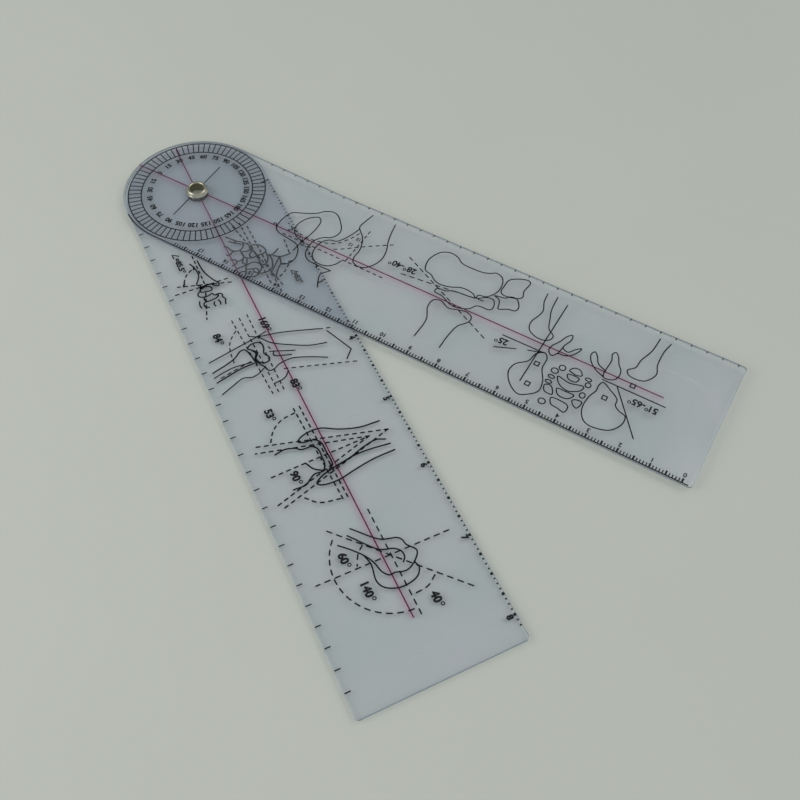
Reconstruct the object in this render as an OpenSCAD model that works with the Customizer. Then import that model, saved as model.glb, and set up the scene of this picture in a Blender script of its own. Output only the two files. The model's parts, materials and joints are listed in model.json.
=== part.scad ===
// Two-arm clear goniometer for measuring how far a joint of the body bends.
// Two flat, flexible plastic arms turn on one hollow metal eyelet. The upper arm carries a full-circle
// degree dial and a centimetre scale. The lower arm carries inch scales. Every print is a thin film of
// ink on an arm's upper face, modelled as a solid of its own.
// Frame: the origin is on the eyelet's axis, midway between the two arms. +Z goes up through the dial
// arm, and +X runs along the dial arm to its square end. The inch arm lies arm_angle clockwise of it.

/* [Arms] */
// Width of the dial arm along its straight sides
dial_arm_w = 48.4; // [48:0.1:54]
// Width of the inch arm along its straight sides
inch_arm_w = 49.4; // [48:0.1:54]
// Distance that the dial arm's straight part lies off the pivot, toward its centimetre scale
dial_arm_shift = 0.7; // [0:0.1:1]
// Distance that the inch arm's straight part lies off the pivot, toward its inch scale
inch_arm_shift = 0.1; // [0:0.1:1]
// Diameter of both arms' round heads
head_d = 49.8; // [49:0.1:54]
// Distance of each round head's centre behind the pivot
head_back = 0.4; // [0:0.1:1]
// Distance from the pivot at which a head has run into the straight sides
head_run = 45; // [30:1:60]
// Distance from the pivot to the dial arm's square end
dial_reach = 190.8; // [190:0.2:230]
// Distance from the pivot to the inch arm's square end
inch_reach = 189.9; // [186:0.1:230]
// Thickness of the plastic sheet
sheet_t = 0.8; // [0.5:0.05:1.2]
// Gap between the two arms, which clears the lower arm's print
arm_gap = 0.1; // [0.06:0.02:0.2]
// Radius of the corners at the square ends
corner_r = 1.2; // [0.4:0.1:3]
// Angle from the dial arm clockwise to the inch arm as it lies at rest
arm_angle = 34.5; // [0:0.5:180]

/* [Eyelet] */
// Outer diameter of the domed flange on top
flange_d = 7.8; // [7.2:0.1:9]
// Height of the domed flange above the dial arm
flange_h = 1.4; // [1:0.05:1.6]
// Height of the domed flange at its outer edge
flange_edge_h = 0.15; // [0.1:0.05:0.3]
// Radius of the round lip where the flange turns down into the hole
lip_r = 0.5; // [0.4:0.05:0.6]
// Outer diameter of the rolled rim underneath
rim_d = 7.2; // [6.8:0.1:8.4]
// Height of the rolled rim below the inch arm
rim_h = 0.38; // [0.3:0.02:0.6]
// Diameter of the hole through the eyelet
bore_d = 4.7; // [3.4:0.1:5]
// Wall thickness of the eyelet's barrel
barrel_wall = 0.35; // [0.25:0.05:0.45]
// Radial clearance between the barrel and the dial arm, which it doesn't turn in
dial_arm_fit = 0.02; // [0.01:0.01:0.03]
// Radial clearance between the barrel and the inch arm, which turns on it
inch_arm_fit = 0.05; // [0.03:0.01:0.1]
// Axial clearance between the rolled rim and the inch arm
rim_gap = 0.02; // [0.01:0.01:0.05]

/* [Ink] */
// Thickness of a film of printing ink
ink_t = 0.03; // [0.02:0.005:0.04]
// Width of the fine lines and ticks
fine_w = 0.36; // [0.15:0.01:0.4]
// Width of the dial's rings and of the centimetre scale's edge line
ring_w = 0.4; // [0.2:0.01:0.4]
// Width of the red centre lines
centre_w = 0.38; // [0.2:0.02:0.5]
// Clear distance between one print and the next that it would cross
print_gap = 0.05; // [0.02:0.01:0.1]

/* [Dial] */
// Mid-line radius of the dial's outer ring
outer_ring_r = 23.6; // [22:0.1:23.8]
// Mid-line radius of the dial's inner ring
inner_ring_r = 19.2; // [18:0.1:20]
// Degrees from one tick of the dial to the next
tick_step = 5; // [5, 10, 15]
// Distance from the pivot to each end of the thin line through both 90 degree marks
ninety_reach = 13.5; // [8:0.5:15]

/* [Centre lines] */
// Distance from the pivot to the far end of the dial arm's red line
dial_line_reach = 172.6; // [100:0.1:186]
// Distance from the pivot to the far end of the inch arm's red line
inch_line_reach = 171.9; // [100:0.1:184]
// Distance from the pivot back to the start of the inch arm's red line
inch_line_start = 23.8; // [5:0.1:24]
// Distance between the eyelet's barrel and the inch arm's red line
hole_margin = 0.25; // [0.1:0.05:1]

/* [Centimetre scale] */
// Distance from the pivot to the scale's zero mark
cm_zero = 187.7; // [187:0.1:188.6]
// Number of millimetre steps on the scale
mm_count = 180; // [100:1:181]
// Distance of the scale's edge line in from the arm's edge
edge_inset = 0.24; // [0.22:0.02:0.5]
// Length of a millimetre tick
mm_tick_l = 1.0; // [0.6:0.1:1.5]
// Length of a tick at each half and whole centimetre
cm_tick_l = 1.35; // [0.8:0.05:2]
// Width of a tick at each half and whole centimetre
cm_tick_w = 0.6; // [0.3:0.05:0.7]
// Angle by which the scale's edge line carries on round the head, past the pivot
edge_line_turn = 32; // [0:1:60]

/* [Inch scale] */
// Distance from the pivot to the scale's 8 inch mark
inch_end = 182.4; // [182:0.1:184]
// Number of sixteenth-inch dots before the 8 inch mark
dot_count = 112; // [32:16:112]
// Number of sixteenth-inch dots after the 8 inch mark
extra_dots = 2; // [0:1:2]
// Distance of the dots in from the arm's edge
dot_inset = 0.5; // [0.5:0.05:1]
// Diameter of a sixteenth-inch dot
dot_d = 0.56; // [0.3:0.02:0.6]
// Diameter of a quarter-inch dot
quarter_dot_d = 0.92; // [0.5:0.02:0.96]

/* [Plain edge ticks] */
// Distance from the pivot to the last tick on the dial arm's plain edge
fifth_end = 188.1; // [187:0.1:189]
// Number of ticks on the dial arm's plain edge
fifth_count = 35; // [10:1:35]
// Length of a tick on the dial arm's plain edge
fifth_tick_l = 0.9; // [0.5:0.1:1.5]
// Number of ticks on the inch arm's plain edge
quarter_count = 28; // [10:1:28]
// Length of a tick on the inch arm's plain edge
quarter_tick_l = 1.7; // [1:0.1:2.5]

/* [Hidden] */
$fn = 96;
smooth_fn = 180;
dot_fn = 24;
edge_line_step = 2;

plastic = [0.72, 0.79, 0.88, 0.45];
metal = [0.74, 0.71, 0.60];
black = [0.07, 0.07, 0.08];
red = [0.72, 0.08, 0.22];

inch = 25.4;
quarter = inch / 4;
fifth = inch / 5;
sixteenth = inch / 16;
dots_per_quarter = 4;
mm_per_long_tick = 5;

// The straight sides' distances from the pivot's line: first toward +Y, then toward -Y
dial_sides = [dial_arm_w / 2 - dial_arm_shift, dial_arm_w / 2 + dial_arm_shift];
inch_sides = [inch_arm_w / 2 + inch_arm_shift, inch_arm_w / 2 - inch_arm_shift];
head_r = head_d / 2;
dial_low = arm_gap / 2;
dial_top = dial_low + sheet_t;
inch_top = -arm_gap / 2;
inch_low = inch_top - sheet_t;
bore_r = bore_d / 2;
barrel_r = bore_r + barrel_wall;
flange_r = flange_d / 2;
rim_r = rim_d / 2;
rim_top = inch_low - rim_gap;
barrel_top = dial_top + flange_h - lip_r;
tick_foot_inset = edge_inset + (ring_w / 2) + print_gap / 4;
beside_flange_r = flange_r + print_gap;
inside_inner_ring_r = inner_ring_r - (ring_w / 2) - print_gap;
outside_outer_ring_r = outer_ring_r + (ring_w / 2) + print_gap;
inner_tick_r = inner_ring_r + (ring_w / 2) + print_gap / 2;
outer_tick_r = outer_ring_r - (ring_w / 2) - print_gap / 2;
hole_clear_r = barrel_r + hole_margin;

// A film of ink from x0 to x1 and y0 to y1, lying on the plane z = 0
module ink_bar(x0, x1, y0, y1) {
    translate([x0, y0, 0])
        cube([x1 - x0, y1 - y0, ink_t]);
}

// A line of ink along X from x0 to x1
module ink_line(x0, x1, w) {
    ink_bar(x0, x1, -w / 2, w / 2);
}

// A printed circle round the pivot with its mid-line at radius r
module ink_ring(r) {
    linear_extrude(ink_t)
        difference() {
            circle(r = r + ring_w / 2, $fn = smooth_fn);
            circle(r = r - ring_w / 2, $fn = smooth_fn);
        }
}

// Puts an inch arm print in place: on the arm's upper face, at the rest angle
module on_inch_arm() {
    rotate(-arm_angle)
        translate([0, 0, inch_top])
            children();
}

// Puts a dial arm print in place on the arm's upper face
module on_dial_arm() {
    translate([0, 0, dial_top])
        children();
}

// Where the line from the point (head_run, w) touches a head's circle of radius r, on the +Y side
function touch(r, w) =
    let (away = norm([head_run + head_back, w]), turn = atan2(w, head_run + head_back) + acos(r / away))
        [r * cos(turn) - head_back, r * sin(turn)];

// Distance from the pivot's line to an arm's edge at x, where the straight side is w from that line
function edge_y(x, w) =
    let (start = touch(head_r, w))
        x > head_run ? w : w + (start.y - w) * (head_run - x) / (head_run - start.x);

// Points along an arm's -Y edge, a distance inset inside it: round the head, then straight to x = length
function edge_path(length, side, inset) =
    let (r = head_r - inset, start = touch(r, side - inset))
        concat([for (turn = [edge_line_turn : -edge_line_step : edge_line_step])
                [-r * sin(turn) - head_back, -r * cos(turn)]],
            [[start.x, -start.y], [head_run, inset - side], [length, inset - side]]);

// An arm's round head and its straight sides as far as x = length
module head_and_sides(length, sides) {
    up_start = touch(head_r, sides[0]);
    down_start = touch(head_r, sides[1]);
    translate([-head_back, 0])
        circle(r = head_r, $fn = smooth_fn);
    polygon([up_start, [down_start.x, -down_start.y], [head_run, -sides[1]], [length, -sides[1]],
        [length, sides[0]], [head_run, sides[0]]]);
}

// One flat arm along +X: a round head, straight sides and a square end with eased corners
module arm(reach, sides, hole_r) {
    linear_extrude(sheet_t)
        difference() {
            union() {
                head_and_sides(reach - corner_r, sides);
                translate([reach / 2, corner_r - sides[1]])
                    square([reach / 2, sides[0] + sides[1] - 2 * corner_r]);
                for (y = [sides[0] - corner_r, corner_r - sides[1]])
                    translate([reach - corner_r, y])
                        circle(r = corner_r);
            }
            circle(r = hole_r);
        }
}

// Half section of the flange: a round lip beside the hole, and a slope from it down to the outer edge
module flange_section() {
    lip = [bore_r + lip_r, flange_h - lip_r];
    edge = [flange_r, flange_edge_h];
    away = edge - lip;
    turn = atan2(away.y, away.x) + acos(lip_r / norm(away));
    translate(lip)
        circle(r = lip_r);
    polygon([[bore_r, 0], [flange_r, 0], edge, lip + lip_r * [cos(turn), sin(turn)], lip, [bore_r, lip.y]]);
}

// Half section of the rolled rim: a flat dome from the hole out to its edge, with its foot on y = 0
module rim_section() {
    w = rim_r - bore_r;
    r = (w * w / 4 + rim_h * rim_h) / (2 * rim_h);
    intersection() {
        translate([bore_r + w / 2, rim_h - r])
            circle(r = r);
        translate([bore_r, 0])
            square([w, rim_h]);
    }
}

module dial_arm() {
    color(plastic)
        translate([0, 0, dial_low])
            arm(dial_reach, dial_sides, barrel_r + dial_arm_fit);
}

module inch_arm() {
    color(plastic)
        rotate(-arm_angle)
            translate([0, 0, inch_low])
                arm(inch_reach, inch_sides, barrel_r + inch_arm_fit);
}

module eyelet() {
    color(metal)
        rotate_extrude() {
            translate([bore_r, rim_top])
                square([barrel_wall, barrel_top - rim_top]);
            translate([0, dial_top])
                flange_section();
            translate([0, rim_top])
                mirror([0, 1])
                    rim_section();
        }
}

module outer_ring() {
    color(black)
        on_dial_arm()
            ink_ring(outer_ring_r);
}

module inner_ring() {
    color(black)
        on_dial_arm()
            ink_ring(inner_ring_r);
}

module degree_ticks() {
    color(black)
        on_dial_arm()
            for (angle = [0 : tick_step : 360 - tick_step])
                rotate(angle)
                    ink_line(inner_tick_r, outer_tick_r, fine_w);
}

module ninety_line() {
    color(black)
        on_dial_arm()
            for (angle = [90, -90])
                rotate(angle)
                    ink_line(beside_flange_r, ninety_reach, fine_w);
}

// The red line runs out to both sides of the eyelet and stops where the dial's rings cross it
module dial_centre_line() {
    color(red)
        on_dial_arm() {
            for (angle = [0, 180])
                rotate(angle)
                    ink_line(beside_flange_r, inside_inner_ring_r, centre_w);
            ink_line(outside_outer_ring_r, dial_line_reach, centre_w);
            ink_line(print_gap - head_r - head_back, -outside_outer_ring_r, centre_w);
        }
}

// The line that the centimetre scale stands on, which carries on a little way round the head
module scale_edge_line() {
    line_end = dial_reach - corner_r;
    outer = edge_path(line_end, dial_sides[1], edge_inset - ring_w / 2);
    inner = edge_path(line_end, dial_sides[1], edge_inset + ring_w / 2);
    color(black)
        on_dial_arm()
            linear_extrude(ink_t)
                polygon(concat(outer, [for (i = [len(inner) - 1 : -1 : 0]) inner[i]]));
}

module millimetre_ticks() {
    color(black)
        on_dial_arm()
            for (step = [0 : mm_count - 1])
                if (step % mm_per_long_tick != 0)
                    translate([cm_zero - step, tick_foot_inset - edge_y(cm_zero - step, dial_sides[1]), 0])
                        ink_bar(-fine_w / 2, fine_w / 2, 0, mm_tick_l);
}

module centimetre_ticks() {
    color(black)
        on_dial_arm()
            for (step = [0 : mm_per_long_tick : mm_count - 1])
                translate([cm_zero - step, tick_foot_inset - edge_y(cm_zero - step, dial_sides[1]), 0])
                    ink_bar(-cm_tick_w / 2, cm_tick_w / 2, 0, cm_tick_l);
}

module fifth_inch_ticks() {
    color(black)
        on_dial_arm()
            for (step = [0 : fifth_count - 1])
                translate([fifth_end - step * fifth, edge_y(fifth_end - step * fifth, dial_sides[0]), 0])
                    ink_bar(-fine_w / 2, fine_w / 2, -edge_inset - fifth_tick_l, -edge_inset);
}

module inch_centre_line() {
    color(red)
        on_inch_arm() {
            ink_line(hole_clear_r, inch_line_reach, centre_w);
            ink_line(-inch_line_start, -hole_clear_r, centre_w);
        }
}

module sixteenth_inch_dots() {
    color(black)
        on_inch_arm()
            for (step = [-extra_dots : dot_count])
                if (step % dots_per_quarter != 0)
                    translate([inch_end - step * sixteenth, inch_sides[0] - dot_inset, 0])
                        cylinder(d = dot_d, h = ink_t, $fn = dot_fn);
}

module quarter_inch_dots() {
    color(black)
        on_inch_arm()
            for (step = [0 : dots_per_quarter : dot_count])
                translate([inch_end - step * sixteenth, inch_sides[0] - dot_inset, 0])
                    cylinder(d = quarter_dot_d, h = ink_t, $fn = dot_fn);
}

module quarter_inch_ticks() {
    color(black)
        on_inch_arm()
            for (step = [0 : quarter_count - 1])
                translate([inch_end - step * quarter, -edge_y(inch_end - step * quarter, inch_sides[1]), 0])
                    ink_bar(-fine_w / 2, fine_w / 2, edge_inset, edge_inset + quarter_tick_l);
}

dial_arm();
inch_arm();
eyelet();
outer_ring();
inner_ring();
degree_ticks();
ninety_line();
dial_centre_line();
scale_edge_line();
millimetre_ticks();
centimetre_ticks();
fifth_inch_ticks();
inch_centre_line();
sixteenth_inch_dots();
quarter_inch_dots();
quarter_inch_ticks();
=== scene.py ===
"""Clear two-arm goniometer: its printed numbers and drawings, materials, floor, lights and camera."""

import json
import math

import bmesh
import bpy
from mathutils import Matrix, Vector


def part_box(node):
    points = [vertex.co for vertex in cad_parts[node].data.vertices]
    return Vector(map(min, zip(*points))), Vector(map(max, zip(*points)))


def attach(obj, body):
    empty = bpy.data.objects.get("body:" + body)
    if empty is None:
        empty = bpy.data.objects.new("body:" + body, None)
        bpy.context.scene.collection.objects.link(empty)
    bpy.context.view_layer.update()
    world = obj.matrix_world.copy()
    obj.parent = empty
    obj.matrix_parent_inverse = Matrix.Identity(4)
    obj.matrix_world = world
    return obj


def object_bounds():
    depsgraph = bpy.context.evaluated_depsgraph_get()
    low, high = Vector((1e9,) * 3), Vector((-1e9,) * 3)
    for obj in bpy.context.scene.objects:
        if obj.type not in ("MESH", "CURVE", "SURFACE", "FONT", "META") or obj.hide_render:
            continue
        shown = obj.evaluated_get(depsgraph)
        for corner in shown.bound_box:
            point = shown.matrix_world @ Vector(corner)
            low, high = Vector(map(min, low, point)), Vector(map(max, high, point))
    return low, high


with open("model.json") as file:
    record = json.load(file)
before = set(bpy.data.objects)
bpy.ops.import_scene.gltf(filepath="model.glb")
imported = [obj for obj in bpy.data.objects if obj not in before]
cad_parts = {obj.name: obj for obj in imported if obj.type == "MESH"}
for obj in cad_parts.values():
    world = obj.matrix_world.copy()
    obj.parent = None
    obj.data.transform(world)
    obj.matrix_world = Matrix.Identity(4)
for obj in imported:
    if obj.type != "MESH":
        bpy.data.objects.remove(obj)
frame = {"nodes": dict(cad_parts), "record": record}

cad_low, cad_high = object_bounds()
nodes = frame["nodes"]

MM = 0.001
DIAL_BODY = "dial_arm"
INCH_BODY = "inch_arm"

# ------------------------------------------------------------- sizes read from the CAD model, in mm


def far_tip(node):
    """The middle of a node's end farthest from the pivot."""
    points = [v.co.xy / MM for v in nodes[node].data.vertices]
    reach = max(p.length for p in points)
    slack = 0.05
    tips = [p for p in points if p.length > reach - slack]
    return sum(tips, Vector((0, 0))) / len(tips)


def box_mm(node):
    low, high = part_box(node)
    return Vector(low) / MM, Vector(high) / MM


DIAL_TOP = box_mm("dial_arm")[1].z
INCH_TOP = box_mm("inch_arm")[1].z
INK_T = box_mm("outer_ring")[1].z - box_mm("outer_ring")[0].z
CM_TICKS_LOW, CM_TICKS_HIGH = box_mm("centimetre_ticks")
CM_COUNT = 18
CM_ZERO = (CM_TICKS_LOW.x + CM_TICKS_HIGH.x) / 2 + 5 * (CM_COUNT - 0.5)
INCH = 25.4
INCH_COUNT = 8
LINE_TIP = far_tip("inch_centre_line")
ARM_TURN = math.atan2(LINE_TIP.y, LINE_TIP.x)
ALONG_INCH_ARM = Matrix.Rotation(-ARM_TURN, 2)
INCH_END = (ALONG_INCH_ARM @ far_tip("quarter_inch_ticks")).x
INCH_ARM_END = max((ALONG_INCH_ARM @ v.co.xy).x for v in nodes["inch_arm"].data.vertices) / MM
DOT_Y = max((ALONG_INCH_ARM @ v.co.xy).y for v in nodes["quarter_inch_dots"].data.vertices) / MM
BORE_R = min(v.co.xy.length for v in nodes["eyelet"].data.vertices) / MM

# Drawings stand a little proud of the red lines that they cross
DRAWING_T = 1.2 * INK_T

# ------------------------------------------------------------- outlines, in mm


def smooth(points, closed=False, steps=6):
    """A rounded curve through the points: a centripetal Catmull-Rom spline."""
    pts = [Vector(p) for p in points]
    if len(pts) < 3:
        return pts
    if closed:
        ring = [pts[-1]] + pts + pts[:2]
    else:
        ring = [2 * pts[0] - pts[1]] + pts + [2 * pts[-1] - pts[-2]]
    curve = []
    for a, b, c, d in zip(ring, ring[1:], ring[2:], ring[3:]):
        t1 = (b - a).length ** 0.5
        t2 = t1 + (c - b).length ** 0.5
        t3 = t2 + (d - c).length ** 0.5
        for k in range(steps):
            t = t1 + (t2 - t1) * k / steps
            ab = a.lerp(b, t / t1)
            bc = b.lerp(c, (t - t1) / (t2 - t1))
            cd = c.lerp(d, (t - t2) / (t3 - t2))
            abc = ab.lerp(bc, t / t2)
            bcd = bc.lerp(cd, (t - t1) / (t3 - t1))
            curve.append(abc.lerp(bcd, (t - t1) / (t2 - t1)))
    return curve if closed else curve + [pts[-1]]


def arc(centre, radius, start, end, steps=24):
    """Points along a circular arc from one angle to another, in degrees anticlockwise from +X."""
    turns = [math.radians(start + (end - start) * k / steps) for k in range(steps + 1)]
    return [Vector(centre) + radius * Vector((math.cos(a), math.sin(a))) for a in turns]


def oval(centre, width, height, steps=20):
    """Points round an ellipse."""
    turns = [math.tau * k / steps for k in range(steps)]
    return [Vector(centre) + Vector((width / 2 * math.cos(a), height / 2 * math.sin(a))) for a in turns]


def dashed(path, dash, gap):
    """The dashes of a broken line along a path."""
    path = [Vector(p) for p in path]
    found = []
    dash_so_far = [path[0]]
    inked = True
    left = dash
    for here, there in zip(path, path[1:]):
        while (there - here).length > left:
            here = here + (there - here).normalized() * left
            if inked:
                found.append(dash_so_far + [here])
            inked = not inked
            left = dash if inked else gap
            dash_so_far = [here]
        left -= (there - here).length
        dash_so_far.append(there)
    # A stub at the end is left out
    if inked and (dash_so_far[0] - dash_so_far[-1]).length > dash / 3:
        found.append(dash_so_far)
    return found


# ------------------------------------------------------------- films of ink

# Widths of the printed lines
FINE = 0.4
BOLD = 0.5
# The corners of a line's round end, as angles from its full width at 0 to its tip at 90 degrees
ROUND_END = [math.radians(a) for a in (80, 60, 35)]
# A line's corners are no longer than its half width over this
SHARPEST = 0.7
# A degree sign is a ring: its line's width, then its radius and side gaps as shares of the figures' height
DEGREE_W = 0.3
DEGREE_R = 0.2
DEGREE_GAP = 0.12


def left_of(v):
    return Vector((-v.y, v.x))


class Print:
    """A film of ink on an arm's upper face, drawn in that arm's own axes, in mm."""

    def __init__(self, name, body, width=FINE):
        self.name = name
        self.body = body
        self.width = width
        self.mesh = bmesh.new()

    def stations(self, path, half, closed):
        """Each point of a line with the vector from it to the line's left edge. Open ends are rounded."""
        count = len(path)
        found = []
        for k, point in enumerate(path):
            ahead = path[(k + 1) % count] if closed or k < count - 1 else 2 * point - path[k - 1]
            behind = path[k - 1] if closed or k > 0 else 2 * point - path[1]
            coming = left_of((point - behind).normalized())
            going = left_of((ahead - point).normalized())
            across = (coming + going).normalized()
            found.append((point, across * half / max(across.dot(going), SHARPEST)))
        if closed:
            return found
        for end, edge in ((found[0], left_of(found[0][1])), (found[-1], -left_of(found[-1][1]))):
            cap = [(end[0] + edge * math.sin(a), end[1] * math.cos(a)) for a in ROUND_END]
            found = cap + found if end is found[0] else found + cap[::-1]
        return found

    def line(self, path, closed=False, width=None):
        """A line of ink along a path of two or more points."""
        path = [Vector(p) for p in path]
        rings = []
        for point, edge in self.stations(path, (width or self.width) / 2, closed):
            left, right = point + edge, point - edge
            corners = ((left, DRAWING_T), (right, DRAWING_T), (right, 0), (left, 0))
            rings.append([self.mesh.verts.new((p.x, p.y, z)) for p, z in corners])
        for a, b in zip(rings, rings[1:] + rings[:1] if closed else rings[1:]):
            for k in range(4):
                self.mesh.faces.new((a[k - 1], a[k], b[k], b[k - 1]))
        if not closed:
            self.mesh.faces.new(rings[0][::-1])
            self.mesh.faces.new(rings[-1])

    def curve(self, points, closed=False, width=None):
        """A line of ink rounded through the points."""
        self.line(smooth(points, closed), closed, width)

    def broken(self, points, dash=1.05, gap=1.3):
        """A dashed line rounded through the points. Round ends add the line's width to each dash."""
        for piece in dashed(smooth(points), dash, gap):
            self.line(piece)

    def text(self, words, centre, height, turn=0, weight=0.035):
        """Figures with their middle at centre, turned by turn degrees. Each degree sign is a ring."""
        size = height / DIGIT_H
        ring_r = DEGREE_R * height
        side_gap = DEGREE_GAP * height
        x = 0
        parts = []
        rings = []
        for k, part in enumerate(words.split("°")):
            if k > 0:
                rings.append(x + side_gap + ring_r)
                x += 2 * (side_gap + ring_r)
            if part:
                mesh, low, high = figures(part, weight)
                parts.append((mesh, x - low * size))
                x += (high - low) * size
        lay = (Matrix.Translation((centre[0], centre[1], 0)) @ Matrix.Rotation(math.radians(turn), 4, "Z")
               @ Matrix.Translation((-x / 2, -height / 2, 0)))
        scale = Matrix.Diagonal((size, size, DRAWING_T, 1))
        for mesh, start in parts:
            mesh.transform(lay @ Matrix.Translation((start, 0, 0)) @ scale)
            self.mesh.from_mesh(mesh)
            bpy.data.meshes.remove(mesh)
        for x_ring in rings:
            middle = lay @ Vector((x_ring, height - ring_r, 0))
            self.line(oval(middle.xy, 2 * ring_r, 2 * ring_r), closed=True, width=DEGREE_W)

    def finish(self):
        """Lays the film on its arm and makes it ride there."""
        mesh = bpy.data.meshes.new(self.name)
        bmesh.ops.recalc_face_normals(self.mesh, faces=self.mesh.faces)
        self.mesh.to_mesh(mesh)
        self.mesh.free()
        if self.body == INCH_BODY:
            lay = Matrix.Rotation(ARM_TURN, 4, "Z") @ Matrix.Translation((0, 0, INCH_TOP))
        else:
            lay = Matrix.Translation((0, 0, DIAL_TOP))
        mesh.transform(Matrix.Scale(MM, 4) @ lay)
        piece = bpy.data.objects.new(self.name, mesh)
        bpy.context.scene.collection.objects.link(piece)
        mesh.materials.append(black_ink)
        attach(piece, self.body)


def figures(words, weight=0):
    """A mesh of figures in the plain built-in font at size 1, and how far they reach along x."""
    half_depth = 0.5
    curve = bpy.data.curves.new("figures", "FONT")
    curve.body = words
    curve.offset = weight
    curve.resolution_u = 4
    curve.extrude = half_depth
    carrier = bpy.data.objects.new("figures", curve)
    bpy.context.scene.collection.objects.link(carrier)
    depsgraph = bpy.context.evaluated_depsgraph_get()
    mesh = bpy.data.meshes.new_from_object(carrier.evaluated_get(depsgraph))
    bpy.data.objects.remove(carrier)
    mesh.transform(Matrix.Translation((0, 0, half_depth)))
    xs = [v.co.x for v in mesh.vertices]
    return mesh, min(xs), max(xs)


def digit_height():
    """The height of a figure at size 1."""
    mesh, _, _ = figures("8")
    ys = [v.co.y for v in mesh.vertices]
    bpy.data.meshes.remove(mesh)
    return max(ys) - min(ys)


DIGIT_H = digit_height()

# ------------------------------------------------------------- materials


class Nodes:
    """A new material's nodes, with short calls to add and link them."""

    def __init__(self, name, turn=0.0):
        """The patterns follow the object's own axes, turned about Z by turn radians."""
        self.material = bpy.data.materials.new(name)
        self.material.use_nodes = True
        self.tree = self.material.node_tree
        self.tree.nodes.clear()
        self.coords = self.add("ShaderNodeTexCoord").outputs["Object"]
        if turn:
            along = self.add("ShaderNodeMapping", vector_type="TEXTURE")
            self.put(along, Vector=self.coords, Rotation=(0, 0, turn))
            self.coords = along.outputs["Vector"]

    def add(self, kind, **settings):
        node = self.tree.nodes.new(kind)
        for name, value in settings.items():
            setattr(node, name, value)
        return node

    def feed(self, socket, value):
        """Links another socket into this one, or sets its value."""
        if isinstance(value, bpy.types.NodeSocket):
            self.tree.links.new(value, socket)
        else:
            socket.default_value = value

    def put(self, node, **inputs):
        """Sets or links a node's inputs, whose names are written with _ for a space."""
        for name, value in inputs.items():
            self.feed(node.inputs[name.replace("_", " ")], value)
        return node

    def noise(self, scale, detail=3.0, roughness=0.55, stretch=None, turn=0.0):
        """Noise at scale features per metre, stretched along an axis turned about Z."""
        coords = self.coords
        if stretch:
            place = self.add("ShaderNodeMapping")
            self.put(place, Vector=coords, Rotation=(0, 0, turn), Scale=stretch)
            coords = place.outputs["Vector"]
        node = self.add("ShaderNodeTexNoise")
        self.put(node, Vector=coords, Scale=scale, Detail=detail, Roughness=roughness)
        return node.outputs["Fac"]

    def ramp(self, value, *stops):
        """Maps a value through colour stops given as (position, grey or colour)."""
        node = self.add("ShaderNodeValToRGB")
        while len(node.color_ramp.elements) < len(stops):
            node.color_ramp.elements.new(0.5)
        for element, (position, colour) in zip(node.color_ramp.elements, stops):
            grey = isinstance(colour, (int, float))
            element.position = position
            element.color = (colour, colour, colour, 1) if grey else (*colour, 1)
        self.put(node, Fac=value)
        return node.outputs["Color"]

    def maths(self, operation, a, b=0.0):
        node = self.add("ShaderNodeMath", operation=operation)
        for socket, value in zip(node.inputs, (a, b)):
            self.feed(socket, value)
        return node.outputs["Value"]

    def bump(self, height, strength, distance):
        node = self.add("ShaderNodeBump")
        self.put(node, Height=height, Strength=strength, Distance=distance)
        return node.outputs["Normal"]

    def blend(self, factor, first, second):
        """Mixes two colours."""
        node = self.add("ShaderNodeMix", data_type="RGBA")
        sockets = {socket.identifier: socket for socket in (*node.inputs, *node.outputs)}
        for name, value in (("Factor_Float", factor), ("A_Color", first), ("B_Color", second)):
            self.feed(sockets[name], value)
        return sockets["Result_Color"]

    def mix(self, factor, first, second):
        """Mixes two shaders."""
        node = self.add("ShaderNodeMixShader")
        for socket, value in zip(node.inputs, (factor, first, second)):
            self.feed(socket, value)
        return node.outputs["Shader"]

    def output(self, shader):
        self.put(self.add("ShaderNodeOutputMaterial"), Surface=shader)
        return self.material


# Refractive index of the vinyl
VINYL_IOR = 1.53
# How far the painted pink glow of the red ink reaches to each side of a centre line, in metres
PINK_GLOW_W = 0.0017
# Width of the painted shade band just inside a sheet's square end, in metres
END_SHADE_W = 0.00035


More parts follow.
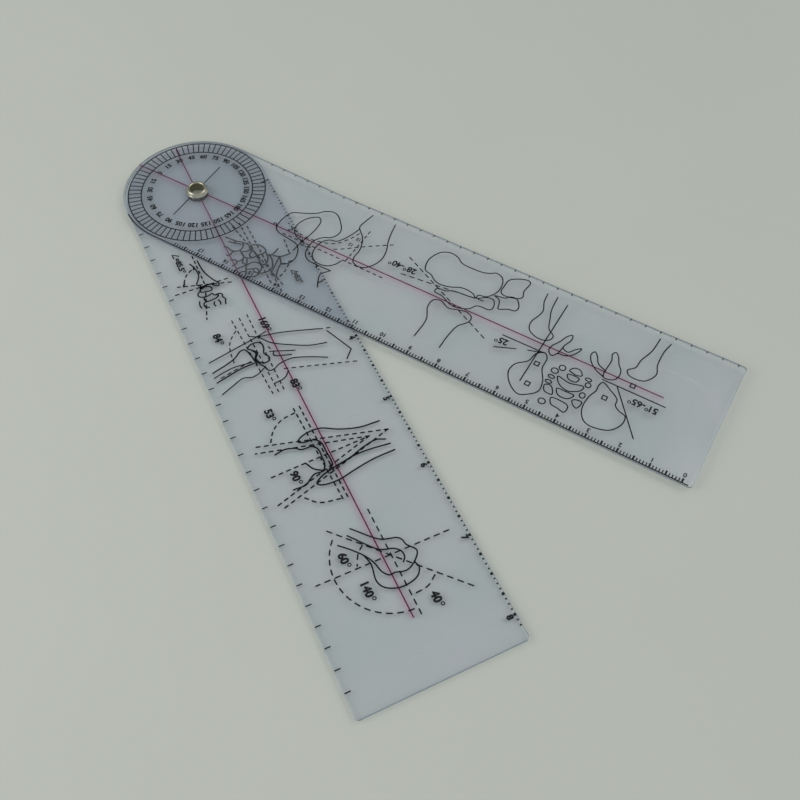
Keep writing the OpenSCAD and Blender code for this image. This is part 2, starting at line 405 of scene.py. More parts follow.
def make_clear_plastic(name, turn, line_end, sheet_end):
    """Faintly blue vinyl sheet: clear and glossy, with handling scuffs, and rough cut edges darkened by
    painted shade.
    A pink glow is painted into its tint to each side of the red centre line, which ends at line_end metres,
    for the pink light that comes through the red ink.
    Shade is painted into its tint just inside its square end, at sheet_end metres, for the dark line that
    light gives there."""
    n = Nodes(name, turn)
    wave = n.noise(18.0, 2.0)
    cloud = n.noise(45.0, 4.0)
    fine_scratches = n.noise(260.0, 2.0, 0.6, stretch=(0.05, 1.6, 1.0), turn=0.5)
    cross_scratches = n.noise(300.0, 2.0, 0.6, stretch=(1.7, 0.04, 1.0), turn=0.2)
    scuffs = n.maths("MAXIMUM", n.ramp(fine_scratches, (0.66, 0.0), (0.74, 1.0)),
                     n.ramp(cross_scratches, (0.68, 0.0), (0.76, 1.0)))
    haze = n.maths("ADD", n.ramp(cloud, (0.4, 0.008), (0.75, 0.035)), n.maths("MULTIPLY", scuffs, 0.06))

    place = n.add("ShaderNodeSeparateXYZ")
    n.put(place, Vector=n.coords)
    from_line = n.maths("ABSOLUTE", place.outputs["Y"])
    # Painted light: a pink glow along the red centre line, for the pink light that comes through the red
    # ink
    painted_pink_glow = n.ramp(n.maths("MULTIPLY", from_line, 1 / PINK_GLOW_W), (0.25, 1.0), (0.55, 0.4), (1.0, 0.0))
    before_end = n.maths("LESS_THAN", place.outputs["X"], line_end)
    painted_pink_glow = n.maths("MULTIPLY", painted_pink_glow, before_end)

    normal = n.bump(n.maths("ADD", wave, n.maths("MULTIPLY", scuffs, 0.02)), 0.12, 0.0006)
    tint = n.ramp(cloud, (0.3, (0.948, 0.971, 0.994)), (0.7, (0.964, 0.971, 0.999)))
    tint_with_painted_light = n.blend(painted_pink_glow, tint, (0.972, 0.9, 0.972, 1))
    # Painted shade: a darker tint just inside the square end, for the dark line that light gives there
    painted_end_shade = n.maths("GREATER_THAN", place.outputs["X"], sheet_end - END_SHADE_W)
    tint_with_painted_light = n.blend(painted_end_shade, tint_with_painted_light, (0.86, 0.9, 0.94, 1))
    through = n.put(n.add("ShaderNodeBsdfTransparent"), Color=tint_with_painted_light).outputs["BSDF"]
    milky = n.put(n.add("ShaderNodeBsdfDiffuse"), Color=(0.72, 0.78, 0.84, 1),
                  Normal=normal).outputs["BSDF"]
    gloss = n.put(n.add("ShaderNodeBsdfGlossy"), Color=(1, 1, 1, 1), Normal=normal,
                  Roughness=n.ramp(cloud, (0.3, 0.07), (0.8, 0.2))).outputs["BSDF"]

    # A ray inside the sheet isn't bent here, so the index is turned round for it
    geometry = n.add("ShaderNodeNewGeometry")
    index = n.add("ShaderNodeMix", data_type="FLOAT")
    n.put(index, Factor=geometry.outputs["Backfacing"], A=VINYL_IOR, B=1 / VINYL_IOR)
    shine = n.put(n.add("ShaderNodeFresnel"), IOR=index.outputs["Result"], Normal=normal).outputs["Fac"]
    face = n.mix(shine, n.mix(haze, through, milky), gloss)

    # The cut edges are a little frosted, and their dark tint and dark base colour are painted shade for the
    # dark line that light gives along a clear sheet's cut edge
    upright = n.add("ShaderNodeSeparateXYZ")
    n.put(upright, Vector=geometry.outputs["True Normal"])
    is_edge = n.maths("LESS_THAN", n.maths("ABSOLUTE", upright.outputs["Z"]), 0.5)
    edge_shade_tint = n.put(n.add("ShaderNodeBsdfTransparent"), Color=(0.6, 0.64, 0.68, 1)).outputs["BSDF"]
    saw_marks = n.noise(900.0, 2.0, stretch=(1.0, 1.0, 0.15))
    frosted_shaded_edge = n.put(n.add("ShaderNodeBsdfPrincipled"), Base_Color=(0.25, 0.275, 0.31, 1), IOR=1.5,
                    Roughness=n.ramp(saw_marks, (0.3, 0.25), (0.7, 0.5))).outputs["BSDF"]
    edge = n.mix(0.4, edge_shade_tint, frosted_shaded_edge)
    return n.output(n.mix(is_edge, face, edge))


def make_black_ink():
    """Screen-printed black ink, semi-matt, with slight thin spots."""
    n = Nodes("black_ink")
    body = n.noise(700.0, 3.0)
    fine = n.noise(4000.0, 2.0)
    shader = n.put(n.add("ShaderNodeBsdfPrincipled"), IOR=1.5,
                   Base_Color=n.ramp(body, (0.35, (0.003, 0.004, 0.005)), (0.75, (0.01, 0.011, 0.013))),
                   Roughness=n.ramp(body, (0.3, 0.45), (0.7, 0.62)), Specular_IOR_Level=0.2,
                   Normal=n.bump(fine, 0.15, 0.00002))
    return n.output(shader.outputs["BSDF"])


def make_red_ink():
    """Screen-printed red ink, which lets a little pink light through."""
    n = Nodes("red_ink")
    body = n.noise(600.0, 3.0)
    shader = n.put(n.add("ShaderNodeBsdfPrincipled"), IOR=1.5,
                   Base_Color=n.ramp(body, (0.35, (0.07, 0.003, 0.016)), (0.7, (0.11, 0.006, 0.028))),
                   Roughness=n.ramp(body, (0.3, 0.35), (0.7, 0.5)),
                   Normal=n.bump(body, 0.1, 0.00002)).outputs["BSDF"]
    through = n.put(n.add("ShaderNodeBsdfTransparent"), Color=(0.5, 0.1, 0.22, 1)).outputs["BSDF"]
    thin = n.ramp(body, (0.3, 0.65), (0.8, 0.8))
    return n.output(n.mix(thin, through, shader))


def make_eyelet_metal(bore_r):
    """Nickel-plated brass: bright and slightly warm on the curl, with fine wear, and olive, rougher and a
    little darker in the bore,
    whose radius is bore_r metres: tarnished there, with painted shade."""
    n = Nodes("eyelet_metal")
    stain = n.noise(900.0, 4.0)
    grain = n.noise(5000.0, 2.0)
    rubs = n.noise(2400.0, 3.0, stretch=(1.0, 1.0, 0.2))
    place = n.add("ShaderNodeSeparateXYZ")
    n.put(place, Vector=n.coords)
    squares = [n.maths("POWER", place.outputs[axis], 2.0) for axis in "XY"]
    radius = n.maths("SQRT", n.maths("ADD", *squares))
    # The bore's tarnished colour, with its painted shade, fades out on the lip, just outside the bore's
    # wall
    inside = n.ramp(n.maths("DIVIDE", radius, bore_r * 2), (0.505, 1.0), (0.56, 0.0))
    bore_tarnish_and_shade = n.maths("MULTIPLY", inside, n.ramp(stain, (0.3, 1.0), (0.8, 0.8)))
    clean = n.ramp(stain, (0.3, (0.31, 0.297, 0.24)), (0.7, (0.48, 0.46, 0.39)))
    colour = n.blend(bore_tarnish_and_shade, clean, (0.34, 0.33, 0.24, 1))
    rough = n.maths("ADD", n.ramp(rubs, (0.3, 0.14), (0.75, 0.3)), n.maths("MULTIPLY", bore_tarnish_and_shade, 0.25))
    shader = n.put(n.add("ShaderNodeBsdfPrincipled"), Metallic=1.0, Base_Color=colour,
                   Roughness=rough, Normal=n.bump(grain, 0.12, 0.00003))
    return n.output(shader.outputs["BSDF"])


def make_floor_material():
    """Plain pale tabletop with a very faint mottle."""
    n = Nodes("floor")
    mottle = n.noise(9.0, 4.0)
    grain = n.noise(1500.0, 2.0)
    shader = n.put(n.add("ShaderNodeBsdfPrincipled"), IOR=1.4,
                   Base_Color=n.ramp(mottle, (0.3, (0.468, 0.483, 0.446)), (0.7, (0.48, 0.495, 0.458))),
                   Roughness=n.ramp(grain, (0.3, 0.6), (0.7, 0.7)),
                   Normal=n.bump(grain, 0.1, 0.0001))
    return n.output(shader.outputs["BSDF"])


dial_plastic = make_clear_plastic("dial_arm_plastic", 0.0, box_mm("dial_centre_line")[1].x * MM,
                                  box_mm("dial_arm")[1].x * MM)
inch_plastic = make_clear_plastic("inch_arm_plastic", ARM_TURN, LINE_TIP.length * MM, INCH_ARM_END * MM)
black_ink = make_black_ink()
red_ink = make_red_ink()
eyelet_metal = make_eyelet_metal(BORE_R * MM)

BY_SLOT = {"black_ink": black_ink, "red_ink": red_ink, "eyelet_metal": eyelet_metal}
BY_NODE = {"dial_arm": dial_plastic, "inch_arm": inch_plastic}
for part in frame["record"]["subparts"]:
    mesh = nodes[part["node"]].data
    mesh.materials.clear()
    mesh.materials.append(BY_NODE.get(part["node"]) or BY_SLOT[part["material_slot"]])

# ------------------------------------------------------------- numbers on the scales


def dial_numbers():
    ink = Print("dial_numbers", DIAL_BODY)
    middle_r = 16.7
    height = 1.7
    # The real print sits a little off the pivot
    shift = Vector((0.2, 0.4))
    for value in range(0, 181, 15):
        for side in (1, -1):
            if side == -1 and value in (0, 180):
                continue
            around = math.radians(180 - side * value)
            centre = shift + middle_r * Vector((math.cos(around), math.sin(around)))
            ink.text(str(value), centre, height, math.degrees(around) - 90, weight=0.045)
    ink.finish()


def centimetre_numbers():
    ink = Print("centimetre_numbers", DIAL_BODY)
    middle_y = CM_TICKS_HIGH.y + 1.2
    height = 1.45
    for value in range(CM_COUNT):
        ink.text(str(value), (CM_ZERO - 10 * value, middle_y), height, 180)
    ink.finish()


def inch_numbers():
    ink = Print("inch_numbers", INCH_BODY)
    middle_y = DOT_Y - 1.95
    height = 1.75
    for value in range(1, INCH_COUNT + 1):
        ink.text(str(value), (INCH_END - INCH * (INCH_COUNT - value), middle_y), height, weight=0.06)
    ink.finish()


# ------------------------------------------------------------- drawings on the dial arm


def hip_drawing():
    ink = Print("hip_drawing", DIAL_BODY)
    # Hip bone
    ink.curve([(44.5, -13.4), (46.1, -11.8), (46.7, -9.5), (46.2, -7.2), (45, -4.9), (43.4, -3.6),
               (39.5, -2.8), (35.5, -2.1), (33.7, -0.9), (33.1, 2), (33.6, 6.2), (34.6, 7.9), (38, 9.6),
               (41.8, 11.8), (43.9, 14), (46.3, 15.1), (48.6, 14.5), (51.2, 12.1), (53.1, 9.3),
               (53.2, 6.9), (52, 4.8), (49.6, 3.3), (47.9, 0.8), (47.7, -3), (48.7, -6), (50.8, -7.6),
               (55, -7.9), (59.6, -7.8)])
    ink.curve([(59.6, -7.8), (57.6, -10.7), (58.4, -13.4), (59.7, -15.8)])
    ink.curve([(33.2, -0.2), (32.5, 0.9), (31.8, 0.7), (31.9, 0.1)])
    ink.curve([(45.2, -1.7), (43, -1.1), (40.8, -0.1), (39.3, 2), (39, 4.2), (39.7, 6.8), (41.4, 9.2),
               (43.6, 10.5), (45, 9.3), (45.5, 6), (45.1, 1.5), (44.5, -2), (44.2, -6.5)])
    # Thigh bone
    ink.curve([(58.2, 12.7), (57.4, 9.8), (55.9, 6.2), (54.4, 4.2), (52.2, 3.6), (50.6, 1.9), (49.9, -1),
               (50.3, -4), (51.7, -6.2), (54.6, -7.2), (57.6, -6.5), (59.5, -4.6), (60.4, -2.3)])
    ink.curve([(58.9, 20.6), (58.1, 17), (57.8, 13.6), (59.1, 12.1), (60.8, 10.4), (62.3, 7.7),
               (63.2, 4.5), (63.2, 0.9), (64, -0.8), (66.1, -1.7), (68.4, -1.1), (70.2, 0.9),
               (71.5, 4.5), (71.1, 8.6), (69.6, 12.4), (68.5, 16.2), (67.7, 20.6)])
    # Lines laid through the bones
    ink.broken([(59.2, 11), (58, 8), (56.6, 5.6), (55.2, 3.6), (52.9, 2.2), (50, 1.3), (47, 0.7),
                (43.6, 0.7), (40.6, 1.2), (38.3, 2), (36, 3.1)])
    ink.broken([(37, -1.8), (77, -1.9)])
    ink.broken([(45, -3), (49.9, -2.2)])
    ink.broken([(61.9, 13.6), (61.6, -1.8)])
    ink.broken([(71.6, 12.4), (63.7, 6.8), (57.4, 1.9), (54.6, 0.2)])
    ink.line([(54.5, -8.3), (55, -9.1)])
    ink.line([(49.4, -4.8), (49.8, -5.5)])
    small = 1.2
    ink.text("15", (60.3, 8.5), small, 180)
    ink.text("12", (59.2, 5.3), small, 180)
    ink.finish()


def foot_drawing():
    ink = Print("foot_drawing", DIAL_BODY)
    ink.curve([(85.1, 13.3), (87.1, 17.6), (90.2, 19), (93.2, 18.3), (95.1, 16.9), (99.1, 16.5),
               (103.2, 16.8), (105.5, 17.7), (107, 18.7), (109.4, 18), (110.7, 15.9), (111, 12.1),
               (109.9, 9.5), (108.5, 8), (106.2, 7.4), (106, 5.9), (104.4, 7.1), (100.2, 7.5),
               (96.7, 5.9), (93.2, 5.2), (90.8, 5.9), (88.8, 7.4), (86.4, 8.1), (85.4, 10)], closed=True)
    ink.curve([(112.1, 18.3), (117.1, 21.1), (118.5, 20.5), (118.2, 16.2), (118.9, 13.9), (118.1, 12.7),
               (113.4, 11.5), (111.9, 12.3), (111.7, 15)], closed=True)
    ink.curve([(110.8, 9.9), (114.4, 10.8), (115.4, 12), (117.6, 12.2), (119.7, 9.3), (119.3, 7.6),
               (117, 7), (114.2, 5.6), (113.6, 7.5), (112.6, 9.3)], closed=True)
    ink.curve([(93.4, 3.3), (96.1, 3.7), (98.5, 4.9), (106.1, 5.9), (109.2, 8), (111.3, 8.1),
               (112.6, 5.6), (112.2, 3.9), (107.9, 3.3), (106.1, 0.9), (102.6, -0.6), (100.4, -0.6),
               (96.1, 1.3), (93.3, 1.7)], closed=True)
    ink.curve([(96.5, -17.3), (96.5, -9.6), (94.4, -4.9), (94.6, -1.7), (96.7, -0.6), (100.2, -2.1),
               (103.2, -1.3), (106.1, -0.6), (108.4, -1.7), (108.6, -3.8), (106.3, -7.1), (105.5, -12),
               (105.4, -17.3)])
    for ends in ([(79.1, 10.4), (116.7, -7.6)], [(80.2, 2.8), (109.9, 6.2)]):
        ink.broken(ends, dash=1.6, gap=1.4)
    ink.finish()


def pelvis_drawing():
    ink = Print("pelvis_drawing", DIAL_BODY)
    for ends in ([(132.8, 18.1), (132.5, -16)], [(120.2, -3), (134, -2.9)],
                 [(129.6, -4.4), (134, -3)], [(154, -3), (174.2, -3)],
                 [(158.9, -3.2), (170.2, -18)], [(119.9, -8.5), (126.2, -5.8)]):
        ink.line(ends)
    # Thigh bones
    ink.curve([(125.3, 19.2), (125.7, 15.6), (127, 12), (126.5, 9.2), (125.6, 6.2), (126.4, 3.2),
               (129.4, 1.5), (132.6, 1.7), (134, 3.1), (134, 4.6), (131.8, 6.3), (130.3, 10.2),
               (129.2, 13.6), (128.7, 19.5)])
    ink.curve([(163.5, 20.4), (163, 14.5), (161.4, 9.6), (161, 6.2), (159.2, 4), (160.5, 2.4),
               (165, 2.7), (167.5, 6.8), (166.5, 10.4), (166.4, 16.2), (167.2, 20.1)])
    # Lower hip bones, each in two limbs
    ink.curve([(139.2, 7.8), (139.7, 6), (138.6, 2), (140.6, 1.1), (142.4, 3.3), (143.8, 4.4),
               (143.4, 2.6), (141.8, 0.2), (140, -0.7), (138.2, -0.9), (136.8, -2.6), (135.2, -1.2),
               (135.3, 0.8), (136.8, 3.6), (138, 6.6)], closed=True)
    ink.line([(138.6, 2), (138.1, -1)])
    ink.curve([(153.8, -2), (150.6, -0.6), (148.2, 1.6), (147.2, 4), (147.9, 5.5), (149.2, 4.2),
               (150.6, 1.8), (153.6, 0.4)])
    ink.curve([(153.8, -2), (153.6, 5.1), (152.9, 7.3), (153.6, 8.5), (154.9, 7.3), (156.1, 4.8),
               (157.6, 2.7), (157.8, 0), (156.6, -1.7)], closed=True)
    # Hip bones
    ink.curve([(134.4, -2.7), (136, -4.1), (136.4, -8.5), (138.5, -12.6), (139, -16.7), (136.2, -19.7),
               (134, -20.7), (130.2, -18.4), (127.9, -14.4), (128.5, -11.1), (131.5, -8), (132.4, -4.4)],
              closed=True)
    ink.curve([(154.6, -3.9), (153.9, -5.6), (154, -7.8), (153, -10.8), (152.9, -15.8), (154.8, -19.3),
               (157.3, -20.3), (163, -18.8), (165.4, -15), (165.1, -12), (162.7, -11.1), (161.1, -9.8),
               (160.7, -7.6), (157.4, -5.3)], closed=True)
    half = 0.7
    for x, y in ((162.9, -0.6), (134.2, -7.7), (134.9, -15.8), (157.2, -8.9)):
        left, right, front, back = x - half, x + half, y - half, y + half
        ink.line([(left, front), (right, front), (right, back), (left, back)], closed=True)
    # Base of the spine: a middle column with smaller bones beside it
    ink.curve([(144, -5), (145, -3.4), (146.8, -3.3), (148.1, -4.9), (146.6, -5.6), (145.3, -5.4)],
              closed=True)
    ink.curve([(144.1, -6.5), (147.8, -6.4), (147.4, -8), (145, -8.1)], closed=True)
    ink.curve([(141.8, -8.7), (145.8, -9.3), (150.2, -8.4), (150, -10.1), (147.9, -11.7), (146.6, -12.2),
               (144, -11.6), (142.4, -10.2)], closed=True)
    ink.curve([(143.4, -12.9), (146.2, -12.7), (148.9, -12.8), (147.9, -14.7), (145.4, -15.2),
               (144, -14.4)], closed=True)
    ink.curve([(143.3, -16.9), (145.9, -16.5), (148.9, -17.2), (148.8, -19.8), (146.4, -19.4),
               (144.2, -19)], closed=True)
    ink.curve([(139.6, -13.5), (141.2, -12.9), (142.4, -14), (143, -15.7), (140.5, -15.7)], closed=True)
    ink.curve([(149.2, -14.6), (150.4, -13.8), (152, -13.9), (151.4, -16.6), (150, -16)], closed=True)
    for centre, width, height in (((141.7, -5.2), 2, 2), ((140.1, -7.3), 2.2, 2),
                                  ((140.1, -9.8), 2, 1.2), ((140.1, -11.9), 2, 1.2),
                                  ((141.4, -19.4), 2.2, 2), ((150.4, -5.3), 1.9, 1.2),
                                  ((151.1, -7.2), 1.7, 1.8), ((151.1, -11.5), 1.7, 2)):
        ink.line(oval(centre, width, height), closed=True)
    ink.finish()


def dial_arm_angle_numbers():
    ink = Print("dial_arm_angle_numbers", DIAL_BODY)
    height = 2.2
    for words, centre in (("28°-40°", (79, 5.6)), ("25°", (120.8, -5.3)), ("51°-65°", (168.2, -5.9))):
        ink.text(words, centre, height, 180)
    ink.finish()


# ------------------------------------------------------------- drawings on the inch arm


def side_wrist_drawing():
    ink = Print("side_wrist_drawing", INCH_BODY, width=BOLD)
    # Lines laid through the bones, with the arrows of the angle between two of them
    ink.broken([(41.5, -4.1), (41.3, -22.2)])
    ink.broken([(43.5, -3.5), (38.3, -20)])
    ink.broken([(27.6, -11.4), (41.6, -11.6)])
    ink.broken([(44.4, -12.5), (54.9, -15.8)], dash=1.3, gap=1.3)
    ink.broken([(33.2, -13.6), (34.6, -15.6), (36.4, -16.9), (38.9, -18.1)])
    ink.line([(37.8, -17.5), (38.9, -18.1)], width=0.65)
    ink.line([(32.4, -12.4), (33.3, -12.8)], width=0.65)
    # End of the forearm bone
    ink.curve([(30.2, -10.5), (33, -10.4), (36, -10), (38.4, -9.2), (40.4, -8.3), (42.2, -7.3),
               (43.1, -7.6), (42.5, -8.9), (41.6, -9.7), (41.3, -11.6)])
    ink.curve([(30.5, -13.2), (32, -12.6), (34.4, -12.1), (36.6, -12.2), (38.4, -13.1), (39.9, -14),
               (41.2, -13), (42.2, -13)])
    ink.line([(41.5, -11.7), (41.6, -13.3)], width=0.75)
    # Wrist bones
    ink.curve([(42, -12.6), (42, -11), (42.9, -10.1), (44.1, -10.4), (43.9, -12.2), (43.5, -13.8),
               (42.4, -13.6)], closed=True)
    ink.curve([(41.6, -13.2), (43, -14), (43.8, -14.9), (44.6, -15.1), (45.5, -14.5), (45.9, -13.2)])
    ink.curve([(45.5, -10.8), (46.3, -10.3), (46.9, -9.1), (47.7, -9.9), (48, -11.5), (47.9, -13.4),
               (46.8, -13.8), (46, -13.4), (45.9, -12)], closed=True)
    ink.curve([(46.4, -9.8), (46.5, -8.4), (47.2, -7.9), (48.2, -8.1), (49.3, -7.6), (50.4, -7.9),
               (51.4, -8.2)])
    ink.curve([(48.9, -9.8), (50, -9.5), (50.9, -9.7)])
    ink.curve([(49.1, -11.2), (50, -11.6), (50.9, -11.4)])
    ink.curve([(48, -13.4), (48.2, -14.3), (49.2, -14.7), (50.2, -14.3), (50.5, -13.4)])
    ink.curve([(47.1, -15.5), (48.4, -15.9), (49.8, -15.8)])
    ink.finish()


def hand_drawing():
    ink = Print("hand_drawing", INCH_BODY, width=0.54)
    # Lines laid through the bones
    ink.broken([(22.6, 9.9), (54, 9.9)])
    ink.broken([(20, 8), (50, 8.1)])
    ink.broken([(20.5, 5.4), (53, 11.5)])
    ink.broken([(43.2, 17.6), (43.4, 15.5), (42.8, 13.2)])
    ink.broken([(44.4, 16.2), (46.6, 14), (48.6, 10.8)])
    ink.broken([(33.6, 19), (39.6, 18.4)])
    # Ends of the two forearm bones
    ink.curve([(36.4, 15.6), (37.3, 14.4), (37.9, 13.2), (38, 11.9)])
    ink.curve([(40, 18.6), (40.2, 16.5), (39.8, 14.6), (38.6, 13.1)])
    ink.curve([(40, 14.7), (41.6, 13.2), (43.4, 11.6), (45.2, 10), (46.4, 9.5)])
    ink.curve([(40.2, 14.8), (42.8, 14.1), (44.2, 12.9), (46, 11.5), (48, 10.4)])
    ink.curve([(37.6, 12), (39.6, 12.1), (41.6, 11.7), (43.4, 10.8), (44.2, 9.3), (44.3, 7.3),
               (43.8, 6)])
    # Wrist bones
    ink.curve([(31.3, 7.8), (31.7, 9.8), (33, 11.1), (35.6, 11.6), (36.3, 10.4), (36.1, 8.3),
               (34.5, 7.9), (32.6, 7.6)], closed=True)
    ink.curve([(36.4, 11.4), (38.6, 11.2), (40.6, 10), (41.1, 8.6), (39.6, 8), (37.8, 8.3), (36.3, 8.2)])
    ink.curve([(31.4, 7.3), (33.8, 7.1), (34.7, 6.2), (35.8, 6), (36.6, 6.9), (36.4, 8)])
    ink.curve([(32.9, 7), (33.1, 5.6), (32.6, 4.3), (34.2, 4.1), (35.6, 4.5), (36.3, 5.5), (36.6, 6.8)])
    ink.curve([(41.6, 7.9), (40, 7.7), (38.8, 6.6), (38.5, 4.9), (39.1, 3.4), (40.3, 2.9), (41, 4.2),
               (41.2, 5.2)])
    ink.curve([(41.6, 7.9), (43, 6.9), (44.3, 5.3), (44.5, 4.2), (44, 2.6)])
    ink.curve([(41.2, 5.3), (41.7, 6.2), (42.7, 6.3), (43.6, 5.8), (42.7, 5), (41.6, 4.9)], closed=True)
    ink.curve([(36.2, 4.6), (37.6, 4.2), (38.6, 3.6)])
    # Ends of the hand bones
    ink.curve([(24.2, 1.7), (26, 3.2), (27.4, 4.3), (28.6, 5.8), (29.8, 6.6)])
    ink.curve([(26.6, 2), (28, 3.7), (29.4, 5.3)])
    ink.line([(26.9, 4), (28.1, 3.4)])
    ink.curve([(29.3, 5.9), (30.7, 5.3), (31.6, 4.2), (31.5, 2.4), (30.4, 1.2), (28.7, 0.6), (28, -0.3)])
    ink.curve([(31.6, 4), (33.2, 3.9), (35, 4), (36, 2.7), (35.9, 1.4), (35, 0.9), (34.4, -0.4)])
    ink.curve([(31.5, 2.5), (31.5, 1.2), (32.3, 0.2), (32, -0.8)])
    ink.curve([(35.8, 3.6), (37.2, 2.8), (38.5, 3.4), (38.9, 2), (39, 0.2), (39.6, -1)])
    ink.curve([(36, 1.4), (36.8, 0.6), (37.2, -0.8)])
    ink.curve([(40.4, 2.8), (41.6, 2.4), (42.8, 1.6), (43.8, 0.4)])
    ink.curve([(41.2, 2.3), (40.9, 0.8), (41.7, -0.5)])
    ink.finish()


def wrist_drawing():
    ink = Print("wrist_drawing", INCH_BODY, width=0.42)
    ink.broken([(58.5, -3.7), (90.6, -3.7)])
    ink.broken([(58.8, -6.4), (90.3, -5.5)])
    ink.broken([(58.8, -8.9), (90.2, -7.3)])
    ink.broken([(89.9, 20.4), (82.9, -1.4)])
    ink.broken([(73.5, 14.8), (74.6, 18.9)])
    ink.broken([(63.2, -9.2), (66.1, -12), (69.6, -13.4), (74.6, -13.9)])
    ink.broken([(73.2, -2.2), (75, -1.6)])
    ink.line([(75.2, 16.8), (84.9, 20.8), (87.8, 18.1)])
    ink.curve([(71.4, -20.8), (69.9, -13.2), (68.8, -7.3), (68.1, -3.9), (67.3, -0.8)])
    ink.curve([(67, -6.1), (68.1, -3.9), (69.6, 3.3), (73.3, 14.6)])
    ink.curve([(68.2, -3.7), (72, -0.9), (75.5, 4.5), (78.2, 9.8), (79.4, 14.9)])
    ink.line([(75.1, -2.4), (78, 4.8)])
    ink.curve([(75.5, -1.3), (77, -1.8), (79.1, 3.2)])
    ink.curve([(84.8, 12.9), (82.3, 8), (80.4, 2.7), (80.8, -1.4), (82, -3.9), (81.7, -5.3),
               (80.3, -5.9), (81.6, -8.5), (82, -10.8), (81.2, -13.4), (82.6, -17.3), (84.2, -21.1)])
    ink.curve([(70.3, -4.5), (71.4, -3.6), (73, -3.6), (75, -4.3), (77, -3.4), (78.3, -3.9),
               (78.5, -5.5), (77.4, -6.9), (75.8, -7.2), (74.1, -6.1), (72.6, -7), (71.2, -8.2),
               (70.2, -6.9)], closed=True, width=BOLD)
    ink.curve([(72.2, -7.4), (74, -6.6), (76, -7.5), (78, -7), (80.2, -5.8)], width=BOLD)
    ink.curve([(78.1, -7.7), (74.4, -8.2), (71.3, -9.2), (71.2, -10.6), (72.9, -12.9), (74.1, -15.8),
               (75.5, -21.1)], width=BOLD)
    ink.curve([(76.7, -9), (76.2, -14.4), (76.7, -18.2), (77.5, -21.3)])
    ink.curve([(77.3, -8.4), (77.5, -12.2), (78.7, -17.9), (79.5, -21.1)], width=BOLD)
    ink.broken([(76.3, -9.2), (77, -13), (78.4, -19.6)])
    ink.curve([(84.4, 0.1), (86.4, -2), (87, -5.4)])
    ink.finish()


def elbow_drawing():
    ink = Print("elbow_drawing", INCH_BODY, width=BOLD)
    ink.broken([(97.9, -1.9), (132.4, -1.1)])
    ink.broken([(97.9, -3.8), (132.4, -2.6)])
    for top, foot in (((116.4, 18.6), (105.5, -19.6)), ((116.2, 12.6), (107.8, -19.6)),
                      ((116.4, 18.6), (127.9, -19.1)), ((116.2, 12.6), (126.5, -20.8)),
                      ((116.3, 11), (117.1, -19.1))):
        ink.broken([top, foot])
    ink.broken([(99.5, -4.1), (100.2, -8.5), (102.6, -12), (106.4, -14.4)])
    ink.broken([(131.6, -3.2), (130.2, -9.1), (126.7, -12.6)])
    ink.curve([(112.7, 17.5), (112.2, 11.2), (110.2, 5.4), (107.7, 0.9), (107.4, -2.6), (108.2, -5.8),
               (109.3, -6.9), (110.1, -5.6), (110.6, -2.4), (112.2, -1), (116, -0.8), (120.5, -0.9),
               (121.5, -2.3)])
    ink.curve([(110.5, -14.6), (110, -11.4), (110.9, -8.6), (112.1, -7), (112.4, -3.9), (113.8, -2.7),
               (116.8, -2.6), (119.6, -2.9), (121.3, -4.2), (121.2, -6.7), (122.2, -8.5), (123.4, -10.2),
               (123.4, -14.1)])
    ink.curve([(117, -7.6), (119.4, -6.4), (121.1, -4.2)])
    ink.curve([(119.2, 16.5), (118.2, 13.9), (119, 9.2), (120.6, 4.5), (121.5, -0.8), (122.9, -5.5),
               (124.4, -7.3), (125.5, -5.8), (125.8, -0.8), (124.9, 3.6), (123.8, 10.4), (123.6, 17.4)])
    ink.curve([(121.1, 17.1), (120.4, 10.9), (120.3, 6.2), (121.4, 0.2)])
    ink.finish()


def knee_drawing():
    ink = Print("knee_drawing", INCH_BODY, width=0.45)
    for path in ([(137.9, 2.3), (173.3, 2.3)], [(153.2, 19.8), (152.9, -19.6)],
                 [(170.7, 18.3), (138.5, -11.4)], arc((153.3, 2), 16.5, 229, 360),
                 [(163.5, 10.4), (165.5, 7.4), (166, 3.3)], [(147.3, -3.6), (149, -5.6), (152.3, -7.4)]):
        ink.broken(path, dash=1.45, gap=1.5)
    ink.curve([(141.3, -4.6), (147.6, 1.4), (148.6, 3.9), (149.2, 5.9), (150.3, 6.9), (152.1, 7.3),
               (154.9, 9.2), (157.3, 7.6), (159, 4.6), (158.8, 2.6), (158.3, 1.2), (158.3, -0.6),
               (156.7, -2), (153.2, -2.9), (150.2, -4.5), (147.3, -6.9), (144.5, -9.7)])
    ink.curve([(142.9, -6.2), (150.2, -0.2), (151.1, 1.6), (151.7, 3.6), (153.2, 5.2), (155.2, 5.4),
               (156.5, 4.4)])
    ink.curve([(157.6, 7.1), (159.6, 7.6), (161.7, 6.2), (162.7, 3.3), (162.6, -0.2), (160.8, -3.5),
               (158.5, -4.5), (153.4, -3.8), (150.2, -4.5)])
    ink.finish()


def inch_arm_angle_numbers():
    ink = Print("inch_arm_angle_numbers", INCH_BODY, width=BOLD)
    # Each of these two has a plain angle mark before it
    small = 1.8
    for words, start, middle, y in (("=83°", 47.2, 51, 16.8), ("=85.5°", 24.3, 29.8, -16.3)):
        ink.line([(start + 1.3, y + small / 2), (start, y - small / 2), (start + 1.6, y - small / 2)])
        ink.text(words, (middle, y), small, weight=0.05)
    height = 2.25
    for words, centre in (("169°", (64.7, 0.1)), ("83°", (90.2, 0.2)), ("84°", (64.1, -15.2)),
                          ("53°", (97.2, -10.9)), ("90°", (120.2, -11.9)), ("40°", (169.9, 8)),
                          ("140°", (160.4, -7.7)), ("60°", (149.4, -9.8))):
        ink.text(words, centre, height, weight=0.05)
    ink.finish()


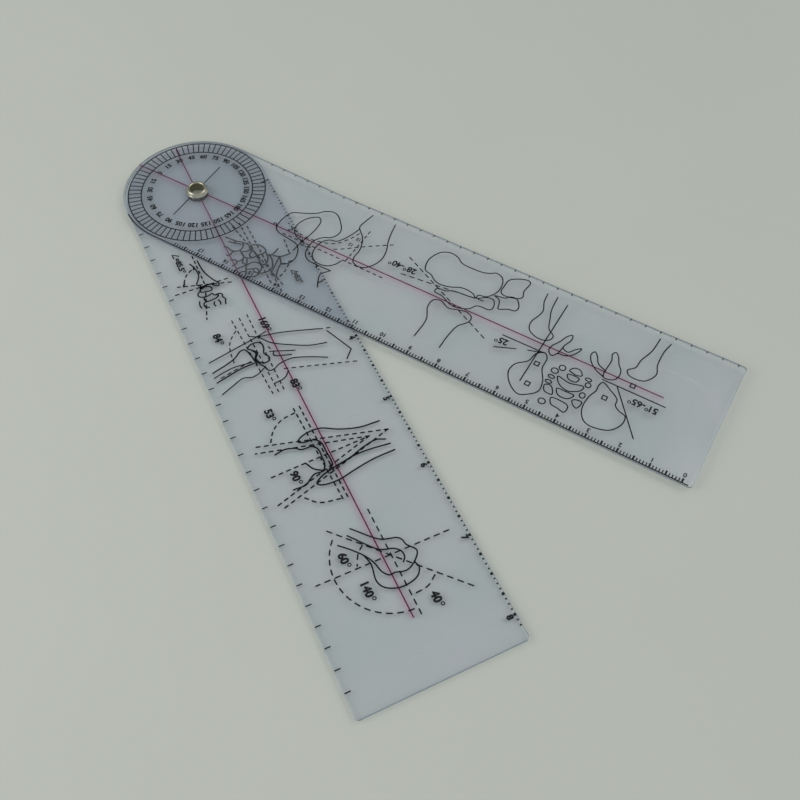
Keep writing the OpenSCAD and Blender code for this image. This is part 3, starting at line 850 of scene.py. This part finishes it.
for make in (dial_numbers, centimetre_numbers, inch_numbers, hip_drawing, foot_drawing, pelvis_drawing,
             dial_arm_angle_numbers, side_wrist_drawing, hand_drawing, wrist_drawing, elbow_drawing,
             knee_drawing, inch_arm_angle_numbers):
    make()

# ------------------------------------------------------------- floor, light and camera

# The point that the camera and the lamps face, in metres
AIM = Vector((104.69, -40.44, 0.85)) * MM
# Brightness of the sky all round, and round its dim side
SKY = 0.66
DIM_SKY = 0.35
DIM_SIDE = (-0.27, 0.485, 0.83)


def make_floor():
    """A plain tabletop under the object."""
    mesh = bpy.data.meshes.new("floor")
    half = 1.6
    z = cad_low[2]
    corners = [(-half, -half, z), (half, -half, z), (half, half, z), (-half, half, z)]
    mesh.from_pydata(corners, [], [(0, 1, 2, 3)])
    mesh.materials.append(make_floor_material())
    floor = bpy.data.objects.new("floor", mesh)
    bpy.context.scene.collection.objects.link(floor)


def add_area_light(name, toward, distance, size, power, colour):
    """A square lamp that stands off from AIM and faces it."""
    lamp = bpy.data.lights.new(name, "AREA")
    lamp.shape = "SQUARE"
    lamp.size = size
    lamp.energy = power
    lamp.color = colour
    holder = bpy.data.objects.new(name, lamp)
    direction = Vector(toward).normalized()
    holder.location = AIM + direction * distance
    holder.rotation_euler = direction.to_track_quat("Z", "Y").to_euler()
    bpy.context.scene.collection.objects.link(holder)


def make_world():
    """Even light from all round, much dimmer on the far side, which the sheets mirror."""
    world = bpy.data.worlds.new("studio")
    world.use_nodes = True
    tree = world.node_tree
    direction = tree.nodes.new("ShaderNodeTexCoord").outputs["Generated"]
    nearness = tree.nodes.new("ShaderNodeVectorMath")
    nearness.operation = "DOT_PRODUCT"
    nearness.inputs[1].default_value = Vector(DIM_SIDE).normalized()
    fall = tree.nodes.new("ShaderNodeMapRange")
    fall.interpolation_type = "SMOOTHSTEP"
    for name, value in (("From Min", 0.5), ("From Max", 0.9), ("To Min", SKY), ("To Max", DIM_SKY)):
        fall.inputs[name].default_value = value
    background = tree.nodes["Background"]
    background.inputs["Color"].default_value = (0.93, 0.98, 0.99, 1)
    tree.links.new(direction, nearness.inputs[0])
    tree.links.new(nearness.outputs["Value"], fall.inputs["Value"])
    tree.links.new(fall.outputs["Result"], background.inputs["Strength"])
    bpy.context.scene.world = world


def make_camera():
    """Looks at the arms from the front right, high up, with a slight roll."""
    azimuth, elevation, roll = (math.radians(a) for a in (29.32, 56.137, 0.775))
    distance = 0.29407
    away = Vector((math.sin(azimuth) * math.cos(elevation), -math.cos(azimuth) * math.cos(elevation),
                   math.sin(elevation)))
    data = bpy.data.cameras.new("camera")
    data.sensor_width = 36
    data.lens = 44.33
    data.clip_start = 0.01
    camera = bpy.data.objects.new("camera", data)
    camera.rotation_mode = "QUATERNION"
    level = away.to_track_quat("Z", "Y")
    camera.rotation_quaternion = level @ Matrix.Rotation(roll, 4, "Z").to_quaternion()
    camera.location = AIM + away * distance
    bpy.context.scene.collection.objects.link(camera)
    bpy.context.scene.camera = camera


make_floor()
make_world()
add_area_light("key", (0.48, 0.48, 0.8), distance=2.0, size=1.5, power=14.0, colour=(1.0, 0.98, 0.95))
add_area_light("fill", (-0.75, -0.65, 0.65), distance=0.8, size=0.6, power=3.0, colour=(1.0, 0.99, 0.96))
make_camera()
bpy.context.scene.view_settings.view_transform = "Standard"
